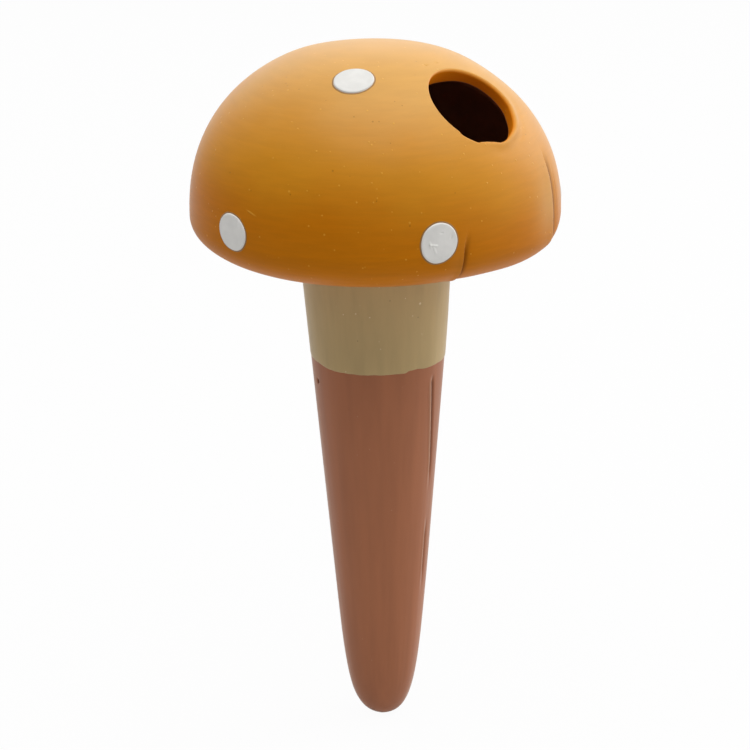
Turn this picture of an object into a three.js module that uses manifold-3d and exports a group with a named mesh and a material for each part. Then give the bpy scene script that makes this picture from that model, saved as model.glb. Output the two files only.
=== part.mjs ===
// Mushroom-shaped terracotta plant waterer: a hollow painted cap with a fill mouth, luted on
// a hollow tapered stem whose bare lower length seeps water into the soil.
// Millimetres, +Z up. The origin is on the axis at the soil line, the lower edge of the neck's paint.
// Azimuths are in degrees from the front (-Y) towards the right (+X).
import * as THREE from "three";
import { mergeVertices } from "three/addons/utils/BufferGeometryUtils.js";
import Module from "manifold-3d";

const wasm = await Module();
wasm.setup();

// Cap
const CAP_DIAMETER = 102;
const CROWN_RISE = 45.5; // widest line up to the crown
const RIM_DROP = 13.5; // widest line down to the cap's lowest edge
const CAP_WALL = 5;
const CROWN_POWER = 2.21; // fullness of the dome towards its crown
const SIDE_POWER = 2.32; // fullness of the dome towards its widest line
const RIM_POWER = 2.12; // fullness of the rim as it turns under

// Stem
const NECK_LENGTH = 28; // soil line up to the cap's lowest edge
const SPIKE_LENGTH = 110.5; // soil line down to the tip
const SOIL_LINE_DIAMETER = 37.3;
const TAPER = 0.0835; // radius gained for each millimetre of height
const STEM_WALL = 4.5;
const TIP_WALL = 6;
const NOSE_LENGTH = 44; // the last stretch, which rounds to a blunt tip
const NOSE_START_POWER = 4.6;
const NOSE_END_POWER = 3.2;
const STEM_STAND = 3; // the stem's top end above the cap's floor, inside the cap

// Fill mouth, cut square to the dome
const MOUTH_DIAMETER = 25;
const MOUTH_AZIMUTH = 48.5;
const MOUTH_DROP = 10.5; // crown down to the mouth's centre
const MOUTH_FACE_DEPTH = 2.3; // the flat pressed round the mouth, below the dome at its centre
const MOUTH_LIP_RADIUS = 1.6;

// Luted joints, filled with fired slip
const OPENING_DIAMETER = 68; // the dome's lower opening, at its inner face
const JOINT_BEVEL = 1.5; // the opening widens by this towards its outer face
const SLIP_WIDTH = 1;
const SLIP_FOOT = 3; // the fillet's foot on the cap's floor, round the stem's top end
const JOINT_GAP = 0.1;

// Paint that stands proud of the clay
const COAT_GAP = 0.05;
const BAND_THICKNESS = 0.3;
const SPOT_DIAMETER = 11;
const SPOT_THICKNESS = 0.4;
const LOWER_SPOT_RISE = 3.2; // widest line up to the lower row's centres
const LOWER_SPOT_AZIMUTHS = [-47, 18.5, 97, 168, 240];
const UPPER_SPOTS = [
  { azimuth: -11.5, drop: 4.4 }, // drop of its centre below the crown
  { azimuth: 140, drop: 9.5 },
  { azimuth: 222, drop: 9.5 },
];

// Creases left in the rim where the clay folded
const CREASE_WIDTH = 1.1;
const CREASE_DEPTH = 1;
const CREASES = [
  { azimuth: 27, rise: 4 }, // rise of its upper end above the widest line
  { azimuth: 70, rise: 17 },
];

// Facets
const CAP_SEGMENTS = 60;
const STEM_SEGMENTS = 40;
const SPOT_SIDES = 20;
const DOME_STEPS = 12;
const RIM_STEPS = 6;
const NOSE_STEPS = 12;
const LIP_STEPS = 4;
const CREASE_STEPS = 10;

// Worked-out sizes
const CAP_RADIUS = CAP_DIAMETER / 2;
const OPENING_RADIUS = OPENING_DIAMETER / 2;
const MOUTH_RADIUS = MOUTH_DIAMETER / 2;
const SPOT_RADIUS = SPOT_DIAMETER / 2;
const HUB_RADIUS = stemRadius(NECK_LENGTH); // where the cap's underside meets the stem
const STEM_TOP = NECK_LENGTH + CAP_WALL + STEM_STAND;
const QUARTER = Math.PI / 2;

// Materials
const MUSTARD_PAINT = new THREE.MeshStandardMaterial({ color: 0xc07d22, roughness: 0.75, metalness: 0 });
const KHAKI_PAINT = new THREE.MeshStandardMaterial({ color: 0x9c8560, roughness: 0.75, metalness: 0 });
const WHITE_PAINT = new THREE.MeshStandardMaterial({ color: 0xe4e2dc, roughness: 0.6, metalness: 0 });
const TERRACOTTA = new THREE.MeshStandardMaterial({ color: 0xa0694a, roughness: 0.9, metalness: 0 });

// A closed body of revolution about +Z from a profile of (radius, height) points.
// Azimuth 0 is at the front, and a profile that climbs on the outside faces outwards.
function revolve(profile, segments) {
  return new THREE.LatheGeometry(profile, segments).rotateX(QUARTER);
}

// A closed three.js geometry as a solid for cutting and joining.
function toSolid(geometry) {
  const bare = new THREE.BufferGeometry().setAttribute("position", geometry.getAttribute("position"));
  bare.setIndex(geometry.index);
  const merged = mergeVertices(bare, 1e-4);
  const corners = [];
  for (let i = 0; i < merged.index.count; i += 3) {
    const [a, b, c] = merged.index.array.slice(i, i + 3);
    if (a !== b && b !== c && c !== a) corners.push(a, b, c);
  }
  return new wasm.Manifold(
    new wasm.Mesh({
      numProp: 3,
      vertProperties: merged.getAttribute("position").array,
      triVerts: new Uint32Array(corners),
    }),
  );
}

function toGeometry(solid) {
  const mesh = solid.getMesh();
  const geometry = new THREE.BufferGeometry();
  geometry.setAttribute("position", new THREE.BufferAttribute(mesh.vertProperties, 3));
  geometry.setIndex(new THREE.BufferAttribute(mesh.triVerts, 1));
  geometry.computeVertexNormals();
  return geometry;
}

function named(name, geometry, material) {
  const mesh = new THREE.Mesh(geometry, material);
  mesh.name = name;
  return mesh;
}

// The cap's skins. The cap's own frame has z = 0 at its lowest edge.
// inset 0 is the outer face, CAP_WALL the inner face, and a negative inset lies outside the cap.

// A dome point: angle 0 is the crown and a quarter turn is the widest line.
function domePoint(inset, angle) {
  return new THREE.Vector2(
    (CAP_RADIUS - inset) * Math.sin(angle) ** (2 / SIDE_POWER),
    RIM_DROP + (CROWN_RISE - inset) * Math.max(Math.cos(angle), 0) ** (2 / CROWN_POWER),
  );
}

// A rim point: angle 0 is the widest line and a quarter turn is the hub, where the stem comes out.
function rimPoint(inset, angle) {
  const turnUnder = CAP_RADIUS - inset - HUB_RADIUS;
  return new THREE.Vector2(
    HUB_RADIUS + turnUnder * Math.max(Math.cos(angle), 0) ** (2 / RIM_POWER),
    RIM_DROP - (RIM_DROP - inset) * Math.sin(angle) ** (2 / RIM_POWER),
  );
}

function domeAngleAtHeight(height) {
  return Math.acos(((height - RIM_DROP) / CROWN_RISE) ** (CROWN_POWER / 2));
}

function rimAngleAtRadius(inset, radius) {
  const share = (radius - HUB_RADIUS) / (CAP_RADIUS - inset - HUB_RADIUS);
  return Math.acos(share ** (RIM_POWER / 2));
}

function domeCurve(inset) {
  return sweep(0, QUARTER, DOME_STEPS, (angle) => domePoint(inset, angle));
}

function rimCurve(inset, fromAngle, toAngle) {
  return sweep(fromAngle, toAngle, RIM_STEPS, (angle) => rimPoint(inset, angle));
}

function sweep(from, to, steps, pointAt) {
  return Array.from({ length: steps + 1 }, (_, i) => pointAt(from + ((to - from) * i) / steps));
}

// The point where a skin is met at a radius on the underside.
function undersidePoint(inset, radius) {
  return rimPoint(inset, rimAngleAtRadius(inset, radius));
}

// A frame on the dome's outer face at an angle down from the crown: its +Z is the face's normal.
function frameOnDome(angle, azimuth) {
  const step = 1e-3;
  const place = domePoint(0, angle);
  const along = domePoint(0, angle + step).sub(domePoint(0, angle - step));
  const normal = new THREE.Vector3(0, along.y, along.x).normalize(); // facing the front
  const turn = new THREE.Matrix4().makeRotationZ(THREE.MathUtils.degToRad(azimuth));
  const tilt = new THREE.Quaternion().setFromUnitVectors(new THREE.Vector3(0, 0, 1), normal);
  const seat = new THREE.Matrix4().makeRotationFromQuaternion(tilt);
  seat.setPosition(0, -place.x, place.y);
  return turn.multiply(seat);
}

// Everything inside a skin, as one solid, with its facets in step with the dome's.
function insideSkin(inset) {
  const edge = rimAngleAtRadius(0, OPENING_RADIUS + JOINT_BEVEL);
  const rim = [...rimCurve(inset, QUARTER, edge), ...rimCurve(inset, edge, 0).slice(1)];
  const floor = new THREE.Vector2(0, rim[0].y);
  return toSolid(revolve([floor, ...rim, ...domeCurve(inset).reverse().slice(1)], CAP_SEGMENTS));
}

// The cutter for the fill mouth: a straight bore, a rounded lip and the flat pressed round it.
function mouthCutter() {
  const lip = MOUTH_LIP_RADIUS;
  const face = -MOUTH_FACE_DEPTH;
  const depth = face - 2 * CAP_WALL;
  const faceRadius = MOUTH_DIAMETER;
  const roundedLip = sweep(Math.PI, QUARTER, LIP_STEPS, (angle) => {
    return new THREE.Vector2(
      MOUTH_RADIUS + lip + lip * Math.cos(angle),
      face - lip + lip * Math.sin(angle),
    );
  });
  const profile = [
    new THREE.Vector2(0, depth),
    new THREE.Vector2(MOUTH_RADIUS, depth),
    ...roundedLip,
    new THREE.Vector2(faceRadius, face),
    new THREE.Vector2(faceRadius, CAP_WALL),
    new THREE.Vector2(0, CAP_WALL),
  ];
  const angle = domeAngleAtHeight(RIM_DROP + CROWN_RISE - MOUTH_DROP);
  return toSolid(revolve(profile, CAP_SEGMENTS).applyMatrix4(frameOnDome(angle, MOUTH_AZIMUTH)));
}

// The cutter for a crease: a thin blade in a meridian plane, deepest at the rim and fading upwards.
function creaseCutter({ azimuth, rise }) {
  const top = domeAngleAtHeight(RIM_DROP + rise);
  const bottom = rimAngleAtRadius(0, OPENING_RADIUS + JOINT_BEVEL);
  const meridian = (inset) => [
    ...sweep(top, QUARTER, CREASE_STEPS, (angle) => domePoint(inset(angle - top), angle)),
    ...sweep(0, bottom, CREASE_STEPS, (angle) => rimPoint(inset(QUARTER - top + angle), angle)).slice(1),
  ];
  const length = QUARTER - top + bottom;
  const bed = meridian((travel) => CREASE_DEPTH * Math.sin((QUARTER * travel) / length));
  const clear = meridian(() => -CREASE_DEPTH);
  const outline = new THREE.Shape([...bed, ...clear.reverse()]);
  const blade = new THREE.ExtrudeGeometry(outline, { depth: CREASE_WIDTH, bevelEnabled: false });
  blade.translate(0, 0, -CREASE_WIDTH / 2).rotateX(QUARTER);
  blade.rotateZ(THREE.MathUtils.degToRad(azimuth) - QUARTER);
  return toSolid(blade);
}

// The cap's upper shell, with the mouth, turned under to a bevelled opening below.
function capDome() {
  const outerEnd = rimAngleAtRadius(0, OPENING_RADIUS + JOINT_BEVEL);
  const innerEnd = rimAngleAtRadius(CAP_WALL, OPENING_RADIUS);
  const profile = [
    ...domeCurve(CAP_WALL),
    ...rimCurve(CAP_WALL, 0, innerEnd).slice(1),
    ...rimCurve(0, outerEnd, 0),
    ...domeCurve(0).reverse().slice(1),
  ];
  const cuts = [mouthCutter(), ...CREASES.map(creaseCutter)];
  const shell = cuts.reduce((solid, cutter) => solid.subtract(cutter), toSolid(revolve(profile, CAP_SEGMENTS)));
  return named("cap_dome", toGeometry(shell), MUSTARD_PAINT);
}

// The ring that closes the cap from below and holds the stem in its tapered hole.
function capUnderside() {
  const outerEdge = OPENING_RADIUS + JOINT_BEVEL - SLIP_WIDTH;
  const innerEdge = OPENING_RADIUS - SLIP_WIDTH;
  const holeBelow = HUB_RADIUS + JOINT_GAP;
  const holeAbove = stemRadius(NECK_LENGTH + CAP_WALL) + JOINT_GAP;
  const below = rimCurve(0, rimAngleAtRadius(0, holeBelow), rimAngleAtRadius(0, outerEdge));
  const above = rimCurve(
    CAP_WALL,
    rimAngleAtRadius(CAP_WALL, innerEdge),
    rimAngleAtRadius(CAP_WALL, holeAbove),
  );
  return named("cap_underside", revolve([...below, ...above, below[0]], CAP_SEGMENTS), MUSTARD_PAINT);
}

// The slip that lutes the underside into the dome's opening.
function rimSlipSeam() {
  const outer = OPENING_RADIUS - JOINT_GAP;
  const inner = OPENING_RADIUS - SLIP_WIDTH + JOINT_GAP;
  const corners = [
    undersidePoint(0, inner + JOINT_BEVEL),
    undersidePoint(0, outer + JOINT_BEVEL),
    undersidePoint(CAP_WALL, outer),
    undersidePoint(CAP_WALL, inner),
  ];
  return named("rim_slip_seam", revolve([...corners, corners[0]], CAP_SEGMENTS), MUSTARD_PAINT);
}

// The fillet of slip round the stem's top end, on the cap's floor.
function stemSlipFillet() {
  const heelRadius = stemRadius(NECK_LENGTH + CAP_WALL) + JOINT_GAP;
  const headRadius = stemRadius(STEM_TOP) + JOINT_GAP;
  const lift = new THREE.Vector2(0, JOINT_GAP);
  const heel = undersidePoint(CAP_WALL, heelRadius).add(lift);
  const toe = undersidePoint(CAP_WALL, heelRadius + SLIP_FOOT).add(lift);
  const head = new THREE.Vector2(headRadius, CAP_WALL + STEM_STAND);
  return named("stem_slip_fillet", revolve([heel, toe, head, heel], STEM_SEGMENTS), TERRACOTTA);
}

// The stem's straight taper. z is from the soil line.
function stemRadius(z) {
  return SOIL_LINE_DIAMETER / 2 + TAPER * z;
}

// A stem skin from its rounded end up to the start of its straight taper.
function noseCurve(wall, end) {
  return sweep(QUARTER, 0, NOSE_STEPS, (angle) => {
    const share = Math.sin(angle); // 1 at the tip, with closer steps there
    const z = end + NOSE_LENGTH * (1 - share);
    const rounding = (1 - share ** NOSE_START_POWER) ** (1 / NOSE_END_POWER);
    return new THREE.Vector2((stemRadius(z) - wall) * rounding, z);
  });
}

// The hollow clay stem: one tapered tube from inside the cap down to its closed tip.
function stemSpike() {
  const outer = noseCurve(0, -SPIKE_LENGTH);
  const bore = noseCurve(STEM_WALL, TIP_WALL - SPIKE_LENGTH);
  const top = [
    new THREE.Vector2(stemRadius(STEM_TOP), STEM_TOP),
    new THREE.Vector2(stemRadius(STEM_TOP) - STEM_WALL, STEM_TOP),
  ];
  return named("stem_spike", revolve([...outer, ...top, ...bore.reverse()], STEM_SEGMENTS), TERRACOTTA);
}

// The painted band round the neck, from the soil line up to the cap.
function neckPaintBand() {
  const inner = (z) => new THREE.Vector2(stemRadius(z) + COAT_GAP, z);
  const outer = (z) => new THREE.Vector2(stemRadius(z) + COAT_GAP + BAND_THICKNESS, z);
  const top = NECK_LENGTH - JOINT_GAP;
  const profile = [inner(0), outer(0), outer(top), inner(top), inner(0)];
  return named("neck_paint_band", revolve(profile, STEM_SEGMENTS), KHAKI_PAINT);
}

// The round white spots, each a thin curved disc that follows the dome.
function paintSpots() {
  const face = insideSkin(-COAT_GAP - SPOT_THICKNESS);
  const bed = insideSkin(-COAT_GAP);
  const disc = new THREE.CylinderGeometry(SPOT_RADIUS, SPOT_RADIUS, SPOT_DIAMETER, SPOT_SIDES).rotateX(QUARTER);
  const spotAt = (name, height, azimuth) => {
    const seat = frameOnDome(domeAngleAtHeight(height), azimuth);
    const spot = face.intersect(toSolid(disc.clone().applyMatrix4(seat))).subtract(bed);
    return named(name, toGeometry(spot), WHITE_PAINT);
  };
  const lower = LOWER_SPOT_AZIMUTHS.map((azimuth, i) => {
    return spotAt(`lower_spot_${i + 1}`, RIM_DROP + LOWER_SPOT_RISE, azimuth);
  });
  const upper = UPPER_SPOTS.map(({ azimuth, drop }, i) => {
    return spotAt(`upper_spot_${i + 1}`, RIM_DROP + CROWN_RISE - drop, azimuth);
  });
  return [...lower, ...upper];
}

// The cap, built in its own frame and set on the neck.
const cap = new THREE.Group();
cap.position.z = NECK_LENGTH;
cap.add(capDome(), capUnderside(), rimSlipSeam(), stemSlipFillet(), ...paintSpots());

const plantWaterer = new THREE.Group();
plantWaterer.add(stemSpike(), neckPaintBand(), cap);

export default plantWaterer;
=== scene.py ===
"""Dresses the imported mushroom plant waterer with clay, paint and studio light.

The file is laid out as an add-on. Its sizes and colours show in the sidebar and each piece has an operator.
Lengths are metres in the part's own frame: +Z up, -Y to the front and z = 0 at the soil line.
Azimuths run from the front (-Y) towards the right (+X).
"""

import math
from collections import namedtuple

import bmesh
import bpy
from bpy.props import FloatProperty, FloatVectorProperty, PointerProperty
from mathutils import Matrix, Quaternion, Vector, noise


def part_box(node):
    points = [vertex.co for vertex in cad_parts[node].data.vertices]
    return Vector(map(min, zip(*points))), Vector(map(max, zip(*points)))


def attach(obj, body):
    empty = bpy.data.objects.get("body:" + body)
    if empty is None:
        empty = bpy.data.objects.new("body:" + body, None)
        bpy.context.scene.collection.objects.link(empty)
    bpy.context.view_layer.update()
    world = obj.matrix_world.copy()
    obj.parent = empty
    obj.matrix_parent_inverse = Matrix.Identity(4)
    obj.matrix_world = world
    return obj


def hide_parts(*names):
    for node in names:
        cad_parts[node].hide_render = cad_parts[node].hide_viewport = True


bl_info = {
    "name": "Mushroom Plant Waterer",
    "version": (1, 0, 0),
    "blender": (4, 5, 0),
    "location": "3D View > Sidebar > Waterer",
    "description": "Models the clay, the paint and the studio of a mushroom-shaped plant waterer",
    "category": "Object",
}

# What the frame gives
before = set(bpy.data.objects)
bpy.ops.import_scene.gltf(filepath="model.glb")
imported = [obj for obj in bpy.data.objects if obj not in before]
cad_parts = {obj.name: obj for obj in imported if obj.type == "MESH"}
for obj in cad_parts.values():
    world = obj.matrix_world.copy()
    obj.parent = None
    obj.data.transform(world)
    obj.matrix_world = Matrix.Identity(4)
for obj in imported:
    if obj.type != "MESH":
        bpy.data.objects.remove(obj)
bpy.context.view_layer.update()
CAP_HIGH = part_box("cap_dome")[1]
STEM_LOW, STEM_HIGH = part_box("stem_spike")
BAND_LOW, BAND_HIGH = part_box("neck_paint_band")
BODY = "root"

MM = 0.001
WELD = 3e-6
FULL_TURN = 2 * math.pi
QUARTER = math.pi / 2
UP = Vector((0, 0, 1))

# How far along a direction the cap's face is looked for
FACE_SEARCH = 8 * MM

# Heights of a form that starts at the top, is full between the inner two and ends at the foot
Span = namedtuple("Span", "top full_top full_foot foot")

# Folds in the rim, from a top to a foot height. Each lies at its azimuth at the waist and bows away from
# it by bow per BOW_SPAN squared. The clay drops by depth beyond the fold and comes back over recovery. The
# near edge stands proud by ridge. Round a set distance beyond the fold the paint is darkened: painted shade
# in its groove.
Fold = namedtuple("Fold", "azimuth bow waist top foot depth recovery ridge ridge_width stain stain_width")
FOLDS = (
    Fold(
        math.radians(26.3), math.radians(3.4), 39.5 * MM, 47 * MM, 28.5 * MM,
        depth=0.95 * MM, recovery=1.5 * MM, ridge=0.3 * MM, ridge_width=1.2 * MM,
        stain=0.85 * MM, stain_width=0.7 * MM,
    ),
    Fold(
        math.radians(68.2), math.radians(0.25), 40 * MM, 61 * MM, 34.5 * MM,
        depth=0.95 * MM, recovery=2 * MM, ridge=0.35 * MM, ridge_width=2.8 * MM,
        stain=2.2 * MM, stain_width=1.15 * MM,
    ),
    Fold(
        math.radians(73.4), math.radians(0.25), 40 * MM, 57 * MM, 36 * MM,
        depth=0.3 * MM, recovery=1 * MM, ridge=0.1 * MM, ridge_width=0.8 * MM,
        stain=0.9 * MM, stain_width=0.6 * MM,
    ),
)
FOLD_STEP = 0.35 * MM
FOLD_RISE = 7 * MM
FOLD_RUNOUT = 4 * MM
BOW_SPAN = 10 * MM

# Azimuths between which the cap's mesh is fine, for the folds
FOLD_ZONES = ((math.radians(25), math.radians(30)), (math.radians(66), math.radians(77)))

# A fold this deep has its full painted shade, and one with a ridge this broad its full painted highlight
FULL_PAINTED_SHADE_DEPTH = 0.95 * MM
FULL_HIGHLIGHT_RIDGE = 2.8 * MM
HIGHLIGHT_SPREAD = 2.8

# The rim is fuller and lower before the second fold
SWELL_AZIMUTH = math.radians(67)
SWELL_SWEEP_BEFORE = math.radians(19)
SWELL_SWEEP_BEYOND = math.radians(14)
SWELL_SPAN = Span(41 * MM, 36 * MM, 32 * MM, 29.5 * MM)

# Widths of the hand-shaped hollows in the cap
WIDE_HOLLOW = 26 * MM
SMALL_HOLLOW = 9 * MM

# Flat places on the dome: azimuth and height of the middle, depth and half width. A depth below 0 swells.
Dent = namedtuple("Dent", "azimuth height depth width")
DENTS = (
    Dent(math.radians(104), 77.5 * MM, 0.85 * MM, 13 * MM),
    Dent(math.radians(95), 67 * MM, 0.55 * MM, 14 * MM),
    Dent(math.radians(-121), 83.5 * MM, -0.4 * MM, 11 * MM),
)

# Uneven places round the hand-cut mouth: clock angles round its axis, softness of the ends, radius gained
Cut = namedtuple("Cut", "start end soft gain")
MOUTH_CUTS = (
    Cut(math.radians(-149), math.radians(-123), math.radians(2.5), 0.42 * MM),
    Cut(math.radians(-117), math.radians(-97), math.radians(6), -0.45 * MM),
    Cut(math.radians(-76), math.radians(-20), math.radians(8), -0.35 * MM),
)

# Clock angles of the mouth's front, of its back, of the bead on its lip and of its pared wall
FRONT_CLOCK = math.radians(-170)
BACK_CLOCK = math.radians(20)
BEAD_CLOCK = math.radians(-58)
BEAD_SWEEP = math.radians(45)
PARED_CLOCK = math.radians(-2)

# The bead on the lip and the trough behind it: distance from the brink and half width
BEAD_DISTANCE = 0.3 * MM
BEAD_WIDTH = 0.7 * MM
TROUGH_DISTANCE = 2.4 * MM
TROUGH_WIDTH = 1.2 * MM
TROUGH_SHARE = 0.7

# How far beyond the hole the shell is cut away, and where the rings that mend it start and end
MOUTH_CUT = 4.2 * MM
FIRST_RING = 3.4 * MM
LAST_RINGS = (2.4 * MM, 3.3 * MM)

# Gaps in the luted joints, the width of the slip's foot round the stem and the ripple of the seam's slip
JOINT_GAP = 0.1 * MM
SLIP_GAP = 0.05 * MM
SLIP_FOOT = 3 * MM
SLIP_RIPPLE = 0.06 * MM
SLIP_RIPPLE_WIDTH = 4 * MM

# The spots: radius and thickness of the paint, how deep its foot sits and how its edge is rounded
SPOT_RADIUS = 5.35 * MM
SPOT_THICKNESS = 0.32 * MM
SPOT_FOOT = 0.1 * MM
SPOT_ROUNDING = 0.34 * MM

# The dark ring round a spot, a painted shadow at the paint's edge: distance out from the paint and height,
# from its outer edge inwards
SPOT_SHADOW_RING = ((0.45 * MM, 0), (0.34 * MM, 0.03 * MM), (0.07 * MM, 0.05 * MM), (0, 0.06 * MM))

# Unevenness of a spot: its outline in two sizes of wave, the raised rim and the ripple of its face
SPOT_WAVE = 0.03
SPOT_RIPPLE = 0.012
SPOT_RIM = 0.05 * MM
SPOT_RELIEF = 0.03 * MM
SPOT_RELIEF_WIDTH = 1.6 * MM

# Spots that aren't round: the direction they are squeezed along, from across towards up, the share left and
# how far their middles are shifted across
Squeeze = namedtuple("Squeeze", "turn share shift")
SPOT_SQUEEZES = {
    "lower_spot_1": Squeeze(math.radians(60), 0.88, -0.5 * MM),
    "lower_spot_2": Squeeze(math.radians(-26), 0.91, 0.2 * MM),
}

# Short strokes of thicker paint on one spot: both ends as (across, up), half width and height
Dab = namedtuple("Dab", "start end width height")
SPOT_DABS = {
    "lower_spot_2": (
        Dab((-2.9 * MM, 0.5 * MM), (-2.7 * MM, -0.8 * MM), 0.22 * MM, 0.19 * MM),
        Dab((-2.8 * MM, -0.1 * MM), (-0.9 * MM, -0.5 * MM), 0.25 * MM, 0.21 * MM),
        Dab((-1.8 * MM, -0.8 * MM), (-1.2 * MM, -2.4 * MM), 0.25 * MM, 0.2 * MM),
        Dab((0.3 * MM, 2.7 * MM), (0.8 * MM, 2.7 * MM), 0.2 * MM, -0.12 * MM),
        Dab((3.3 * MM, 1.0 * MM), (3.5 * MM, 1.5 * MM), 0.25 * MM, -0.1 * MM),
    ),
}

# The pinhole at the left of the spike, just under the paint
PINHOLE_AZIMUTH = math.radians(-67)
PINHOLE_HEIGHT = -6 * MM
PINHOLE_RADIUS = 0.45 * MM
PINHOLE_DEPTH = 1.6 * MM
PINHOLE_ZONE = math.radians(5)

# Grit and pits that show in the paint: azimuth in degrees, height and radius in mm. The cap's grit is
# painted lighter as its lit tops (painted highlight). Its pits are painted darker as painted shade, and
# some of them are painted shadows just under grains.
CAP_GRIT = (
    (10, 50.6, 0.4), (14.3, 62.8, 0.3), (24.6, 60.8, 0.28), (43.2, 59.6, 0.3), (60.2, 59.4, 0.32),
    (-27, 57.7, 0.4), (-21, 58.3, 0.3), (-17, 57.4, 0.28), (-11, 60, 0.34), (-15, 67.8, 0.3),
    (-5.5, 56, 0.34), (0.6, 57, 0.3), (-15, 47.6, 0.38), (-12, 43.7, 0.32), (4.6, 49, 0.3),
    (-5, 48.5, 0.28),
)
CAP_PITS_AND_SHADOWS = (
    (10, 49.8, 0.36), (-26.4, 57, 0.32), (0.4, 56.3, 0.28), (-13.4, 63.4, 0.38), (-52, 59.5, 0.3),
    (38.9, 85.1, 0.26), (9.4, 78.5, 0.26), (12.3, 77.6, 0.28), (-0.5, 74.5, 0.34), (-8, 75.5, 0.28),
)
NECK_GRIT = ((35.7, 18.9, 0.46), (-27, 16.5, 0.24), (-16.5, 17.1, 0.28), (-5.5, 16.2, 0.26))
NECK_PITS = ((10.2, 20.9, 0.26), (34.3, 15, 0.26), (-15.8, 9.2, 0.26))

# A fine scratch beside the left spot: azimuths in degrees and heights in mm of its ends, and its width
SCRATCH_START = (-42.3, 51.6)
SCRATCH_END = (-37.2, 50.1)
SCRATCH_WIDTH = 0.32 * MM

# Lengths of the mould's seam that show, each with its strength
SEAM_LENGTHS = (
    (Span(-3 * MM, -7 * MM, -27 * MM, -40 * MM), 1.0),
    (Span(-46 * MM, -54 * MM, -62 * MM, -71 * MM), 0.5),
)

# Above the bend the seam runs off to the right on its way down, by the drift in radians per metre
SEAM_BEND = -31 * MM
SEAM_DRIFT = math.radians(280)
SEAM_ZONE = math.radians(9)

# What runs along the seam: distance beyond its line, half width, and height or share
Band = namedtuple("Band", "distance width amount")
SEAM_RIDGE = Band(-0.55 * MM, 0.5 * MM, 0.32 * MM)
SEAM_GROOVE = Band(0.6 * MM, 0.6 * MM, -0.6 * MM)
# Painted shade in the seam's groove and painted highlight on its ridge
SEAM_PAINTED_SHADE = Band(0.75 * MM, 0.6 * MM, 0.5)
SEAM_HIGHLIGHT = Band(-0.5 * MM, 0.5 * MM, 1.0)

# Shaved facets of the stem: waves round it and their length along it, broad and fine
FACET_WAVES = 3.1
FACET_LENGTH = 150 * MM
FINE_FACET_WAVES = 9.3
FINE_FACET_LENGTH = 45 * MM

# Heights above the tip where the shaving starts and is full, and up to which the tip is rubbed
SHAVING_START = 2 * MM
SHAVING_FULL = 20 * MM
RUBBED_TOP = 9 * MM

# The stem's mesh is finer from here up to the paint, and the paint covers its end by the lap
FINE_STEM_FOOT = -12 * MM
PAINT_LAP = 1 * MM

# The stem's right side is a little fuller
BULGE_AZIMUTH = math.radians(92)
BULGE_SWEEP = math.radians(30)
BULGE_SPAN = Span(26 * MM, 6 * MM, -60 * MM, -100 * MM)

# The neck paint's lower edge: its drop, two sizes of wave, a notch on the right and a rise on the left
LINE_DROP = 0.8 * MM
LINE_WAVE = 0.12 * MM
LINE_RIPPLE = 0.1 * MM
LINE_NOTCH = 0.5 * MM
LINE_RISE = 0.9 * MM

# The gap under the neck's paint, its rounded edge as share of the coat and height above the edge, and the
# share of the paint's height over which the unevenness of that edge runs out
COAT_GAP = 0.02 * MM
COAT_EDGE = ((0.25, 0), (0.6, 0.05 * MM), (0.85, 0.14 * MM), (1, 0.3 * MM))
COAT_EDGE_SHARE = 0.3

# The studio: half the floor's width, its drop below the tip, the cards' height and the sensor's width in mm
FLOOR_REACH = 3.0
FLOOR_DROP = 0.2 * MM
FLAG_HEIGHT = 1.2
SENSOR_WIDTH = 36


def length(label, words, size):
    return FloatProperty(name=label, description=words, default=size, unit="LENGTH", precision=5)


def angle(label, words, degrees):
    return FloatProperty(name=label, description=words, default=math.radians(degrees), subtype="ANGLE")


def number(label, words, value):
    return FloatProperty(name=label, description=words, default=value, precision=3)


def colour(label, words, value):
    return FloatVectorProperty(
        name=label, description=words, default=value, size=3, subtype="COLOR", min=0, max=1
    )


class WatererCap(bpy.types.PropertyGroup):
    """Sizes of the hollow cap."""

    radius: length("Radius", "Axis to the widest line", CAP_HIGH.x)
    crown: length("Crown", "Height of the crown", CAP_HIGH.z)
    widest: length("Widest line", "Height of the widest line", 41.5 * MM)
    rim: length("Rim", "Height of the cap's lowest edge", 28 * MM)
    hub: length("Hub", "Radius where the underside meets the stem", 20.99 * MM)
    wall: length("Wall", "Thickness of the clay", 5 * MM)
    side_power: number("Side fullness", "Fullness of the dome towards its widest line", 2.32)
    crown_power: number("Crown fullness", "Fullness of the dome towards its crown", 2.21)
    rim_power: number("Rim fullness", "Fullness of the rim as it turns under", 2.12)
    opening: length("Opening", "Radius of the dome's lower opening at its inner face", 34 * MM)
    bevel: length("Opening bevel", "How much the opening widens to its outer face", 1.5 * MM)
    seam: length("Slip seam", "Width of the slip between dome and underside", 1 * MM)
    unevenness: length("Unevenness", "Depth of the hand-shaped hollows", 0.14 * MM)
    swell: length("Swell", "How much fuller the rim is before the second fold", 1 * MM)


class WatererMouth(bpy.types.PropertyGroup):
    """Sizes of the fill mouth."""

    azimuth: angle("Azimuth", "From the front towards the right", 48.5)
    drop: length("Drop", "Crown down to the mouth's centre", 10.5 * MM)
    radius: length("Radius", "Radius of the hole", 12.85 * MM)
    shift: length("Shift", "How far the hole is cut towards the front of its face", 0.3 * MM)
    front_lip: length("Front lip", "Rounding of the lip at the front", 0.35 * MM)
    back_lip: length("Back lip", "Rounding of the lip at the back", 0.75 * MM)
    inner_lip: length("Inner lip", "Rounding of the inner edge", 0.5 * MM)
    flare: length("Flare", "How much the throat widens inwards at the back and right", 0.5 * MM)
    pared: length("Pared", "How much thinner the wall is at the back and right", 1.3 * MM)
    bead: length("Bead", "How proud the lip stands on the right", 0.3 * MM)


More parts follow.
